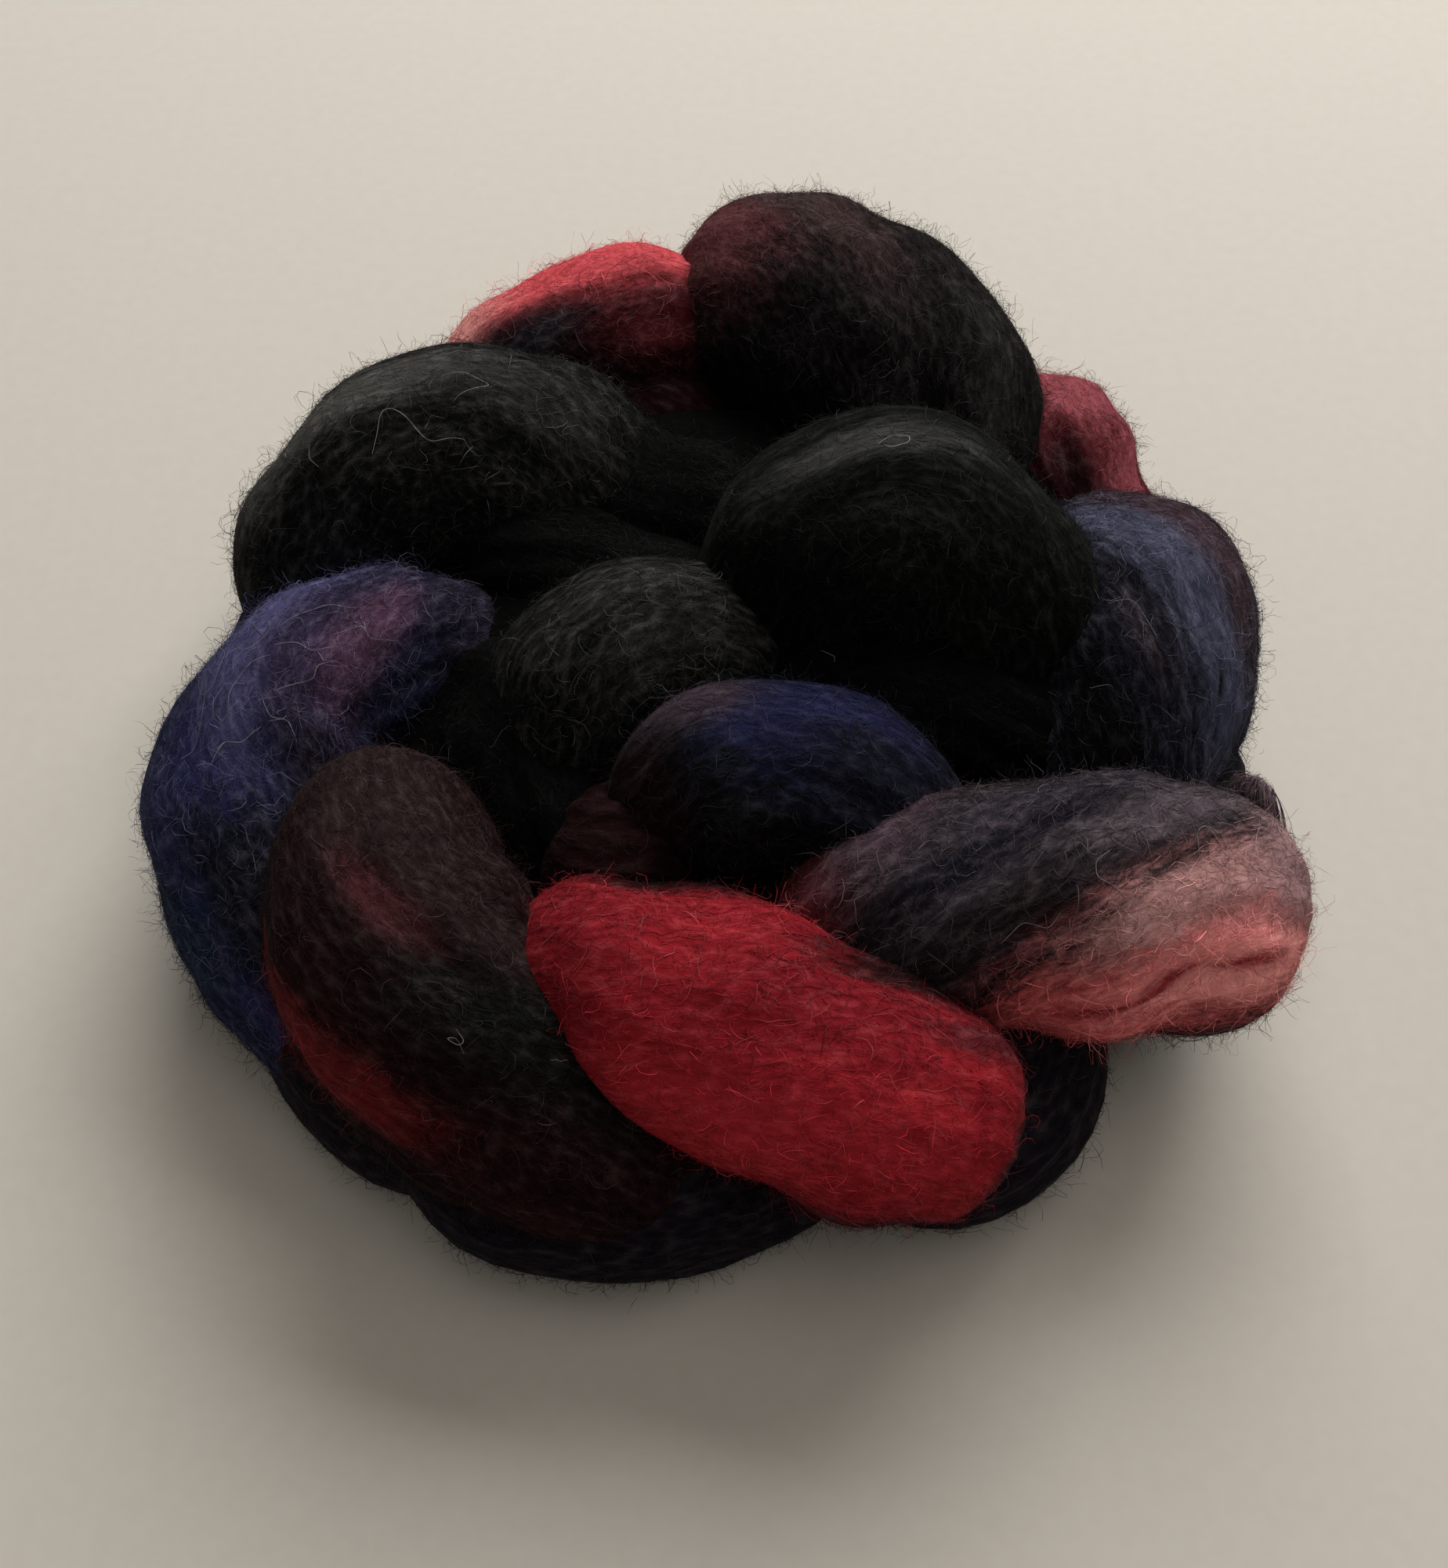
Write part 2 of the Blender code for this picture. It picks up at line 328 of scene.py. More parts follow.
# Dents and swellings that the lay of the strand gives a fold: place as for a splash, and how
# far the middle is pressed in, in mm. Less than nothing swells.
Dent = namedtuple("Dent", "fold along around length breadth depth")

DENTS = (
    Dent("front", 0.24, -46, 50, 26, 2.8),
    Dent("front", 0.70, -44, 34, 16, 1.6),
    Dent("front_left", 0.42, 2, 26, 5, 1.2),
    Dent("right", 0.68, -22, 40, 4, 1.6),
    Dent("right", 0.66, -37, 30, 3.4, 1.2),
    Dent("right", 0.64, 0, 36, 4, 1.5),
    Dent("right", 0.44, -4, 30, 4, 0.9),
    Dent("right_front", 0.46, 34, 60, 6, 1.2),
    Dent("right_front", 0.66, 66, 40, 5, 1.0),
    Dent("right_front", 0.50, -8, 50, 5, 0.8),
    Dent("back_left", 0.50, -24, 70, 5, 0.8),
    Dent("back_left", 0.60, 10, 60, 5, 1.0),
    Dent("back_left", 0.50, -62, 60, 5, 0.8),
    Dent("back", 0.55, -14, 60, 6, 0.9),
    Dent("back", 0.80, 17, 24, 8, 1.6),
    Dent("left", 0.30, -8, 50, 6, 0.9),
    Dent("left_upper", 0.50, 20, 60, 6, 0.9),
    Dent("back_right", 0.50, -20, 40, 5, 1.2),
    Dent("middle_back", 0.40, 10, 44, 6, 0.8),
)

# Single long curly fibres that lie loose on the wool, as points of (along, around) they pass.
Stray = namedtuple("Stray", "fold points")

STRAYS = (
    Stray("left_upper", ((0.37, 20), (0.41, 12), (0.43, 2), (0.45, 2), (0.47, 10), (0.48, 18),
                         (0.49, 26), (0.51, 31), (0.55, 29), (0.59, 31))),
    Stray("left_upper", ((0.50, 22), (0.51, 19), (0.52, 16), (0.55, 19))),
    Stray("left_upper", ((0.56, -7), (0.59, -9), (0.61, -4), (0.64, 1), (0.61, 4), (0.58, 8),
                         (0.57, 11))),
    Stray("left_upper", ((0.61, 34), (0.59, 38), (0.57, 43))),
    Stray("left_upper", ((0.30, -11), (0.28, -3), (0.28, 3))),
    Stray("middle_back", ((0.45, -12), (0.47, -17), (0.50, -15), (0.50, -9), (0.47, -7),
                          (0.46, -11))),
    Stray("middle_low", ((0.30, -2), (0.33, 2), (0.33, 8))),
    Stray("front_left", ((0.64, 8), (0.66, 9), (0.66, 12), (0.64, 13), (0.65, 10), (0.67, 13))),
    Stray("front_left", ((0.76, -8), (0.77, -10), (0.78, -13))),
    Stray("left", ((0.38, 2), (0.42, 8), (0.47, 10), (0.52, 6))),
    Stray("left", ((0.44, 34), (0.47, 26), (0.52, 24), (0.56, 28), (0.57, 36))),
    Stray("left", ((0.28, -20), (0.32, -12), (0.33, -3), (0.36, 4))),
    Stray("left", ((0.52, -10), (0.55, -2), (0.55, 8), (0.59, 14))),
    Stray("left", ((0.36, 24), (0.33, 18), (0.35, 10), (0.39, 12), (0.40, 20), (0.37, 27))),
    Stray("left", ((0.46, -6), (0.50, -14), (0.49, -22), (0.53, -28))),
    Stray("left", ((0.20, -2), (0.24, 8), (0.28, 12), (0.33, 10))),
    Stray("left", ((0.30, -26), (0.34, -20), (0.37, -24), (0.41, -16), (0.44, -10))),
    Stray("left", ((0.40, 36), (0.41, 24), (0.46, 20), (0.48, 30), (0.45, 36))),
    Stray("left", ((0.48, 4), (0.52, 10), (0.50, 18), (0.46, 16))),
    Stray("left", ((0.18, -30), (0.22, -24), (0.22, -14), (0.27, -10))),
    Stray("right_front", ((0.56, 22), (0.52, 16), (0.52, 9), (0.55, 4))),
    Stray("right_front", ((0.70, 4), (0.70, -6), (0.72, -12), (0.75, -8), (0.76, 0))),
    Stray("right_front", ((0.36, 44), (0.40, 34), (0.44, 38), (0.46, 30))),
    Stray("right", ((0.62, 24), (0.60, 12), (0.64, 4), (0.68, -2))),
)

# How finely the wool is drawn.
FINE = (88, 52)         # corners round and along a fold that shows
PLAIN = (44, 28)        # the same for a fold that is mostly hidden
CORE = (48, 24)         # the same for the core
FIBRES_PER_CM2 = 34     # combed fibres that lie on the surface
NAP_PER_CM2 = 108       # short fibre ends that make it soft
RIM_SHARE = 0.5         # how thickly the folds round the foot are covered, against the rest
FIBRE_STATIONS = 6      # points along a lying fibre, and along each other kind
NAP_STATIONS = 3
STANDING_STATIONS = 6
STRAY_STATIONS = 34
TUFT_STATIONS = 7
COVERED = 2.5           # fibres start within this turn of a fold's top, in radians
COVERED_SHARE = 0.8     # the share of the whole round that this is
MOST_TURN = 2.7         # and end within this one
BARE_END = 0.02         # the share of a fold at each end that they don't start on
ON_TABLE = 0.8          # none start lower than this, in mm
INSIDE = 0.96           # nor within this share of another fold's half width

# Sizes of the fibres, in mm. A wool fibre is 0.03 mm across and these are two to five times that,
# so that they show.
LYING_LENGTHS = (2.5, 6.5)
LYING_WIDTHS = (0.06, 0.13)
NAP_LENGTHS = (0.7, 2.6)
NAP_HEIGHTS = (0.15, 1.5)
NAP_WIDTHS = (0.05, 0.095)
STRAY_WIDTH = 0.13
TUFT_LENGTHS = (4.4, 6.4)
TUFT_WIDTHS = (0.08, 0.16)
TABLE_GAP = 0.02        # no fibre lies lower than this over the table
SUNK_ROOT = 0.2         # how far a standing fibre's root is sunk in the wool
SUNK_NAP = 0.1          # and how far the nap's roots are
SUNK_LYING = 0.06       # and a lying fibre's ends
LYING_RISE = 0.34       # how far a lying fibre's middle may stand over its ends
END_MARGIN = 0.3        # how far a lying fibre keeps from the ends of its fold
SEEN_OVER = 0.3         # a place shows if a point this far out from it isn't buried

# Curly fibres that stand off the wool: how many to a square centimetre, their lengths, heights
# and widths in mm, and what share of them are loops, with both ends held.
Standing = namedtuple("Standing", "per_cm2 lengths heights widths loops")

NET = Standing(30.0, (2.0, 6.0), (0.2, 1.0), (0.07, 0.13), 0.9)
HALO = Standing(24.8, (1.2, 5.0), (0.9, 4.4), (0.05, 0.085), 0.3)
NET_LIMITS = (0.4, 1.2)         # the net follows a fold's share of loose wool between these
THIN_HALO = {"front": 0.5}      # the folds whose halo is thinner, and its share of the usual
CURL = 0.26             # how far a standing fibre swings sideways, as a share of its length

# Lying fibres: how far they stray from their lane, in degrees, and the share that is wild.
COMBED_ASTRAY = 20.0
WILD_ASTRAY = 65.0
MOST_ASTRAY = 78.0
WILD_SHARE = 0.4

# The crimp of a lying fibre: how high its waves are, and the shortest and the longest, in mm.
Crimp = namedtuple("Crimp", "height short long")

CRIMPS = (Crimp(0.5, 4.0, 7.0), Crimp(0.2, 2.4, 3.6))

# The soft waves in a fold's surface: how many, their height, the shortest and the longest in mm,
# and the fewest times that they go round it and one more than the most.
Waves = namedtuple("Waves", "lots height short long rounds")

LUMPS = Waves(5, 0.42, 26, 60, (-3, 4))
SMALL_LUMPS = Waves(6, 0.22, 14, 30, (-3, 4))
FURROWS = Waves(9, 0.13, 50, 130, (5, 17))

# How unevenly each kind of fibre took the dye: the spread in its depth, the share of fibres that
# are nearly bare, how bare those are, and how bare all the others are.
Uptake = namedtuple("Uptake", "spread pale bareness haze")

LYING_UPTAKE = Uptake(0.26, 0.10, (0.05, 0.25), 0.023)
NAP_UPTAKE = Uptake(0.35, 0.10, (0.05, 0.20), 0.023)
NET_UPTAKE = Uptake(0.28, 0.60, (0.08, 0.30), 0.023)
HALO_UPTAKE = Uptake(0.28, 0.20, (0.08, 0.30), 0.023)
TUFT_UPTAKE = Uptake(0.35, 0.25, (0.05, 0.25), 0.020)

STRAY_COLOUR = "#96929a"
STRAY_DEPTHS = (0.32, 0.75)     # between which each stray's colour is dimmed

# The tuft: where it stands on its fold and how widely, how many fibres it has, how far below the
# wool they start, in mm, and the ways that it leans and that its tip hooks over.
TUFT_ALONG, TUFT_ALONG_SPREAD = 0.885, 0.017
TUFT_AROUND, TUFT_AROUND_SPREAD = -53.0, 7.5
TUFT_FIBRES = 850
TUFT_DEPTH = 1.2
TUFT_LEAN = (-0.10, 0.72, 0.68)
TUFT_HOOK = (0.35, -0.05, 0.0)
TUFT_COLOUR = "#5a4a52"

# Where the random draws start for the strays and the tuft. FIBRE_KINDS has the others.
STRAY_SEED = 71
TUFT_SEED = 73

# A splash fades out at SPLASH_EDGE times its half size, over SPLASH_FADE of it. That edge moves
# by up to SPLASH_RUN, and the two borders that a lock may have are RUN_OUT of that to each side.
SPLASH_EDGE = 1.40
SPLASH_FADE = 0.9
SPLASH_RUN = 0.30
RUN_OUT = 0.8

# Linear brightness at which a dye has soaked nearly all the wool, and how much more than that
# leaves the usual share of it loose and pale.
SOAKED = 0.0012
UNSOAKED = 0.0022
LEAST_LOOSE = 0.3       # the share of the usual that is still loose where the dye is deepest
LEAST_PALE = 0.45       # and the share of the pale fibres
PALE_GAIN = 20.0        # how fast their share rises with the dye's brightness

FULL_TURN = 2.0 * np.pi
ANY_PHASE = 6.28        # where in its turn a wave may start
RUN_STEPS = 401         # places along a fold at which its run is measured


def linear(hex_colour):
    """An sRGB hex colour as linear red, green and blue."""
    shades = [int(hex_colour[i:i + 2], 16) / 255.0 for i in (1, 3, 5)]
    return [s / 12.92 if s <= 0.04045 else ((s + 0.055) / 1.055) ** 2.4 for s in shades]


def named_fold(name):
    """The row of that name in the table of folds."""
    return next(fold for fold in FOLDS if fold.name == name)


# ---------------------------------------------------------------- the lay of a fold

def through(start, crest, end, t):
    """The points at t on the parabola that runs through the three, the crest at its middle."""
    start, crest, end = (np.asarray(p, float) for p in (start, crest, end))
    t = np.asarray(t, float)[..., None]
    return start * (1 - t) * (1 - 2 * t) + crest * 4 * t * (1 - t) + end * t * (2 * t - 1)


def unit(vectors):
    """The same directions, each of length 1."""
    return vectors / np.maximum(np.linalg.norm(vectors, axis=-1, keepdims=True), 1e-12)


def end_rounding(along):
    """The share of its width that a fold keeps at along, which runs from -1 to 1."""
    return np.sqrt(np.maximum(1.0 - np.abs(along) ** END_ROUNDNESS, 0.0))


def half_width(fold, along):
    """Half the fold's width in mm at along."""
    width = through(*[(w,) for w in fold.widths], 0.5 + 0.5 * along)[..., 0]
    return 0.5 * width * end_rounding(along)


# Millimetres run along a fold's middle line, and the lean's sideways drift in mm, by along.
Run = namedtuple("Run", "along run drift")


def run_of(fold):
    """The fold's run, measured at even steps of along."""
    along = np.linspace(-1.0, 1.0, RUN_STEPS)
    line = through(fold.start, fold.crest, fold.end, 0.5 + 0.5 * along)
    steps = np.linalg.norm(np.diff(line, axis=0), axis=1)
    run = np.concatenate([[0.0], np.cumsum(steps)])
    lean = np.radians(np.interp(run, [0.0, run[-1]], LEAN.get(fold.name, (0, 0))))
    drift = np.concatenate([[0.0], np.cumsum(np.tan(0.5 * (lean[1:] + lean[:-1])) * steps)])
    return Run(along, run, drift - np.interp(0.5 * run[-1], run, drift))


def lane(fold, along, turn):
    """Where a surface point lies in the combed sheet, in mm: along the run, and across it."""
    table = run_of(fold)
    run = np.interp(along, table.along, table.run)
    return run, turn * half_width(fold, along) - np.interp(along, table.along, table.drift)


def away_from(mark, fold, run, across):
    """How far places are from the middle of a splash or a dent, as shares of half its length and
    half its breadth."""
    _, centre = lane(fold, 2.0 * mark.along - 1.0, math.radians(mark.around))
    ahead = (run - mark.along * run_of(fold).run[-1]) / (0.5 * mark.length)
    aside = (across - centre) / (0.5 * mark.breadth)
    return ahead, aside


def lumps(fold, along, turn):
    """How far the surface stands out from the plain sweep, in mm: soft lumps and furrows."""
    run, across = lane(fold, along, turn)
    seed = sum(ord(letter) * (i + 1) for i, letter in enumerate(fold.name))
    dice = np.random.default_rng(seed)
    total = np.zeros(np.broadcast(run, turn).shape)
    for waves in (LUMPS, SMALL_LUMPS, FURROWS):
        for _ in range(waves.lots):
            length = dice.uniform(waves.short, waves.long)
            if waves is FURROWS:
                length *= dice.choice([-1, 1])      # they wind round it either way
            times_round = int(dice.integers(*waves.rounds))
            phase = dice.uniform(0, ANY_PHASE)
            total += waves.height * np.sin(FULL_TURN * run / length + times_round * turn + phase)
    for dent in DENTS:
        if dent.fold == fold.name:
            ahead, aside = away_from(dent, fold, run, across)
            total -= dent.depth * np.exp(-ahead ** 2 - aside ** 2)
    return total


def fold_surface(fold, along, turn, proud=0.0):
    """Points of a fold's surface, in mm, with proud millimetres added outwards."""
    step = 0.001
    t = 0.5 + 0.5 * along
    line = through(fold.start, fold.crest, fold.end, t)
    ahead = unit(through(fold.start, fold.crest, fold.end, t + step)
                 - through(fold.start, fold.crest, fold.end, t - step))
    side = unit(np.cross(ahead, [0.0, 0.0, 1.0]))
    up = np.cross(side, ahead)
    reach = half_width(fold, along) + end_rounding(along) * lumps(fold, along, turn) + proud
    points = (line + (reach * np.sin(turn))[..., None] * side
              + (FLATTEN * reach * np.cos(turn))[..., None] * up)
    return points + LAY


def fold_outward(fold, along, turn):
    """The directions straight out of a fold's surface."""
    step = 0.004
    inner = np.clip(along, -0.99, 0.99)
    onward = fold_surface(fold, inner + step, turn) - fold_surface(fold, inner - step, turn)
    around = fold_surface(fold, inner, turn + step) - fold_surface(fold, inner, turn - step)
    return unit(np.cross(around, onward))


def buried(points, own):
    """True for the points, in mm, that lie inside another fold or the core, or on the table."""
    hidden = points[:, 2] < ON_TABLE
    inner = (points - LAY - CORE_CENTRE) / CORE_RADII
    hidden |= np.linalg.norm(inner, axis=1) < 1.0
    # Each fold is tried as a row of flattened balls, closer together towards its ends.
    along = -np.cos(np.linspace(0.04, np.pi - 0.04, 48))
    for fold in FOLDS:
        if fold is own:
            continue
        line = through(fold.start, fold.crest, fold.end, 0.5 + 0.5 * along) + LAY
        reach = half_width(fold, along)
        away = points[:, None, :] - line[None, :, :]
        away[..., 2] /= FLATTEN
        hidden |= (np.linalg.norm(away, axis=2) < INSIDE * reach[None, :]).any(axis=1)
    return hidden


# ---------------------------------------------------------------- dye

def dye_at(fold, along, turn, spread):
    """The colour of the wool, as rows of linear red, green and blue.

    Spread, from -1 to 1, draws each splash in or lets it run, so that borders come out streaky.
    """
    run, across = lane(fold, along, turn)
    colour = np.empty(np.broadcast(run, across).shape + (3,))
    colour[:] = linear(DYES[MAIN_DYE[fold.name]])
    for splash in SPLASHES:
        if splash.fold != fold.name:
            continue
        ahead, aside = away_from(splash, fold, run, across)
        distance = np.sqrt(ahead ** 2 + aside ** 2)
        edge = SPLASH_EDGE + SPLASH_RUN * spread
        amount = np.clip((edge - distance) / SPLASH_FADE, 0.0, 1.0)
        amount = (amount * amount * (3.0 - 2.0 * amount))[..., None]
        colour = colour * (1.0 - amount) + np.array(linear(DYES[splash.dye])) * amount
    return colour


def loose_wool(fold, dye):
    """The colour that a fold's loose, hardly dyed wool adds to it, which also serves as painted
    sheen.

    Where the dye is deepest it reached nearly all the wool, so there is little to add.
    """
    loose = LOOSE_WOOL_AND_SHEEN.get(fold.name, LOOSE_WOOL_AND_SHEEN["elsewhere"])
    brightness = dye.mean(axis=-1, keepdims=True)
    left_over = np.clip((brightness - SOAKED) / UNSOAKED, LEAST_LOOSE, 1.0)
    return loose.share * left_over * np.array(linear(loose.colour))


def depth_of_dye(fold, colour, dice, uptake):
    """Makes each fibre lighter or darker than the dye it lay in, and leaves some nearly bare,
    fewer of them where the dye is deep."""
    count = len(colour)
    strength = np.exp(dice.normal(-0.5 * uptake.spread ** 2, uptake.spread, count))
    brightness = colour.mean(axis=(1, 2))
    pale = uptake.pale * np.clip(LEAST_PALE + PALE_GAIN * brightness, LEAST_PALE, 1.0)
    bare = np.where(dice.uniform(0, 1, count) < pale,
                    dice.uniform(*uptake.bareness, count), uptake.haze)
    return colour * strength[:, None, None] + loose_wool(fold, colour) * bare[:, None, None]


def dye_of_each(fold, along, turn, stations, dice):
    """One colour for the whole of each fibre, from the dye where it starts."""
    colour = dye_at(fold, along, turn, dice.uniform(-1, 1, len(along)))
    return np.repeat(colour[:, None, :], stations, axis=1)


# ---------------------------------------------------------------- materials

# A Mix node's sockets by number, because several of them share a name.
SHARE = 0
FIRST_VALUE, SECOND_VALUE, VALUE = 2, 3, 0
FIRST_COLOUR, SECOND_COLOUR, COLOUR = 6, 7, 2


def add(tree, kind, settings=None, values=None, links=None, stops=()):
    """Adds a node with its settings, its sockets' values, what each socket is fed from, and a
    colour ramp's stops, as (place, grey)."""
    node = tree.nodes.new(kind)
    for name, value in (settings or {}).items():
        setattr(node, name, value)
    for name, value in (values or {}).items():
        node.inputs[name].default_value = value
    for name, source in (links or {}).items():
        tree.links.new(source, node.inputs[name])
    if stops:
        elements = node.color_ramp.elements
        while len(elements) < len(stops):
            elements.new(1.0)
        for element, (place, grey) in zip(elements, stops):
            element.position = place
            element.color = (grey, grey, grey, 1.0)
    return node


def new_material(name, finish):
    """A material whose shader has the finish, as values by socket."""
    material = bpy.data.materials.new(name)
    material.use_nodes = True
    shader = material.node_tree.nodes["Principled BSDF"]
    for socket, value in finish.items():
        shader.inputs[socket].default_value = value
    return material, material.node_tree, shader


# The patterns in combed wool, by the lanes of its fibres: length along them and breadth across
# them in mm, then the noise's detail, roughness and distortion. Single fibres of 0.03 mm are too
# fine to show, so the grain is drawn some twenty times as coarse.
Pattern = namedtuple("Pattern", "length breadth detail roughness distortion")

GRAIN = Pattern(1.3, 0.7, 3.0, 0.65, 1.6)       # fibres
WISPS = Pattern(4.0, 1.6, 2.5, 0.55, 1.2)       # crimped fibres that wander together
LOCKS = Pattern(14.0, 4.4, 2.0, 0.50, 0.6)      # the locks that combing leaves side by side
PITS = (2.6, 1.5)                               # dark gaps between the wisps, as in felt: painted shade


def dyed_combed_wool():
    """Combed wool top, dyed by pouring: matt, with a trace of sheen, fine streaks that run with
    the fibres, painted shade in the gaps between locks, a pale haze over proud wisps that is
    partly painted sheen, and dye borders that follow the fibres."""
    material, tree, shader = new_material("dyed_combed_wool", {
        "Roughness": 0.9, "Specular IOR Level": 0.03,
        "Sheen Weight": 0.03, "Sheen Roughness": 0.3, "Sheen Tint": (0.85, 0.82, 0.80, 1.0)})
    lanes = add(tree, "ShaderNodeUVMap", {"uv_map": "lanes"})
    noises = []
    for pattern in (GRAIN, WISPS, LOCKS):
        scale = (1 / (pattern.length * MM), 1 / (pattern.breadth * MM), 1.0)
        place = add(tree, "ShaderNodeMapping", values={"Scale": scale},
                    links={"Vector": lanes.outputs["UV"]})
        noises.append(add(tree, "ShaderNodeTexNoise",
                          values={"Scale": 1.0, "Detail": pattern.detail,
                                  "Roughness": pattern.roughness,
                                  "Distortion": pattern.distortion},
                          links={"Vector": place.outputs[0]}))
    grain, wisps, locks = noises
    pit_scale = (1 / (PITS[0] * MM), 1 / (PITS[1] * MM), 1.0)
    pit_place = add(tree, "ShaderNodeMapping", values={"Scale": pit_scale},
                    links={"Vector": lanes.outputs["UV"]})
    # The grain pushes the pits about, so that no two are alike.
    wander = add(tree, "ShaderNodeMix", {"data_type": "RGBA", "blend_type": "ADD"}, {SHARE: 1.1},
                 {FIRST_COLOUR: pit_place.outputs[0], SECOND_COLOUR: grain.outputs["Color"]})
    pits = add(tree, "ShaderNodeTexVoronoi", {"voronoi_dimensions": "2D", "feature": "SMOOTH_F1"},
               {"Scale": 1.0, "Smoothness": 0.5}, {"Vector": wander.outputs[COLOUR]})
    felt = add(tree, "ShaderNodeMix", {"data_type": "FLOAT"}, {SHARE: 0.38},
               {FIRST_VALUE: pits.outputs["Distance"], SECOND_VALUE: grain.outputs[0]})
    coarse = add(tree, "ShaderNodeMix", {"data_type": "FLOAT"}, {SHARE: 0.6},
                 {FIRST_VALUE: locks.outputs[0], SECOND_VALUE: wisps.outputs[0]})
    both = add(tree, "ShaderNodeMix", {"data_type": "FLOAT"}, {SHARE: 0.5},
               {FIRST_VALUE: coarse.outputs[VALUE], SECOND_VALUE: felt.outputs[VALUE]})

    # Some locks drew the dye in further than others, so its borders are streaky.
    tight = add(tree, "ShaderNodeAttribute", {"attribute_name": "dye_drawn_in"})
    wide = add(tree, "ShaderNodeAttribute", {"attribute_name": "dye_run_out"})
    border = add(tree, "ShaderNodeValToRGB", links={0: coarse.outputs[VALUE]},
                 stops=((0.38, 0.0), (0.62, 1.0)))
    dye = add(tree, "ShaderNodeMix", {"data_type": "RGBA"},
              links={SHARE: border.outputs[0], FIRST_COLOUR: tight.outputs["Color"],
                     SECOND_COLOUR: wide.outputs["Color"]})

    # The shade ramp makes the wool darker in the gaps between its wisps and lighter on top of
    # them:
    # grain, with painted shade in the gaps. Light goes further through paler wool, so its gaps
    # look less dark.
    shade = add(tree, "ShaderNodeValToRGB", links={0: both.outputs[VALUE]},
                stops=((0.28, 0.56), (0.40, 0.86), (0.50, 1.04), (0.64, 1.38)))
    paleness = add(tree, "ShaderNodeRGBToBW", links={0: dye.outputs[COLOUR]})
    glow = add(tree, "ShaderNodeValToRGB", links={0: paleness.outputs[0]},
               stops=((0.01, 0.0), (0.07, 0.55)))
    eased = add(tree, "ShaderNodeMix", {"data_type": "RGBA"},
                {SECOND_COLOUR: (1.02, 1.02, 1.02, 1.0)},
                {SHARE: glow.outputs[0], FIRST_COLOUR: shade.outputs[0]})
    deep = add(tree, "ShaderNodeMix", {"data_type": "RGBA", "blend_type": "MULTIPLY"},
               {SHARE: 1.0},
               {FIRST_COLOUR: dye.outputs[COLOUR], SECOND_COLOUR: eased.outputs[COLOUR]})

    # Hardly dyed fibre ends haze the wisps that stand proud. This pale haze is also painted sheen.
    haze = add(tree, "ShaderNodeValToRGB", links={0: both.outputs[VALUE]},
               stops=((0.40, 0.0), (0.50, 0.026), (0.64, 0.134)))
    loose = add(tree, "ShaderNodeAttribute", {"attribute_name": "loose_wool"})
    hazed = add(tree, "ShaderNodeMix", {"data_type": "RGBA", "blend_type": "ADD"},
                links={SHARE: haze.outputs[0], FIRST_COLOUR: deep.outputs[COLOUR],
                       SECOND_COLOUR: loose.outputs["Color"]})
    tree.links.new(hazed.outputs[COLOUR], shader.inputs["Base Color"])
    relief = add(tree, "ShaderNodeBump", values={"Strength": 0.55, "Distance": 1.0 * MM},
                 links={"Height": both.outputs[VALUE]})
    tree.links.new(relief.outputs[0], shader.inputs["Normal"])
    return material


def loose_wool_fibre():
    """Single dyed wool fibres on the surface: a little glossier than the mass of the wool, since
    each is smooth along its length. Each has its own depth of dye, kept in its colours."""
    material, tree, shader = new_material("loose_wool_fibre", {
        "Roughness": 0.6, "Specular IOR Level": 0.05,
        "Sheen Weight": 0.03, "Sheen Roughness": 0.3})
    dye = add(tree, "ShaderNodeAttribute", {"attribute_name": "dye"})
    place = add(tree, "ShaderNodeTexCoord")
    # Crimp turns a fibre to the light and away from it, about every 2 mm.
    crimp = add(tree, "ShaderNodeTexNoise", values={"Scale": 1 / (2.0 * MM), "Detail": 1.0},
                links={"Vector": place.outputs["Object"]})
    shade = add(tree, "ShaderNodeValToRGB", links={0: crimp.outputs[0]},
                stops=((0.3, 0.75), (0.7, 1.25)))
    shaded = add(tree, "ShaderNodeMix", {"data_type": "RGBA", "blend_type": "MULTIPLY"},
                 {SHARE: 1.0},
                 {FIRST_COLOUR: dye.outputs["Color"], SECOND_COLOUR: shade.outputs[0]})
    tree.links.new(shaded.outputs[COLOUR], shader.inputs["Base Color"])
    return material


def pale_pressed_board():
    """A plain matt board in a warm pale grey, with the faint mottling of pressed pulp, about
    3 mm across."""
    material, tree, shader = new_material("pale_pressed_board", {"Roughness": 0.9})
    place = add(tree, "ShaderNodeTexCoord")
    pulp = add(tree, "ShaderNodeTexNoise", values={"Scale": 320.0, "Detail": 4.0},
               links={"Vector": place.outputs["Object"]})
    tone = add(tree, "ShaderNodeMix", {"data_type": "RGBA"},
               {FIRST_COLOUR: (*linear(BOARD_DARK), 1.0),
                SECOND_COLOUR: (*linear(BOARD_LIGHT), 1.0)},
               {SHARE: pulp.outputs[0]})
    tree.links.new(tone.outputs[COLOUR], shader.inputs["Base Color"])
    return material


# ---------------------------------------------------------------- folds and core

def finish_piece(piece, material):
    """Gives a piece its material, says what it rides on, and hides the model's part that the wool
    stands in for.
    """
    piece.data.materials.clear()
    piece.data.materials.append(material)
    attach(piece, "root")
    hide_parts("wool_roving")


def give_colours(mesh, name, rows):
    """Stores a colour for every vertex."""
    layer = mesh.color_attributes.new(name, "FLOAT_COLOR", "POINT")
    rows = np.asarray(rows, np.float32).reshape(-1, 3)
    opaque = np.hstack([rows, np.ones((len(rows), 1), np.float32)])
    layer.data.foreach_set("color", opaque.ravel())


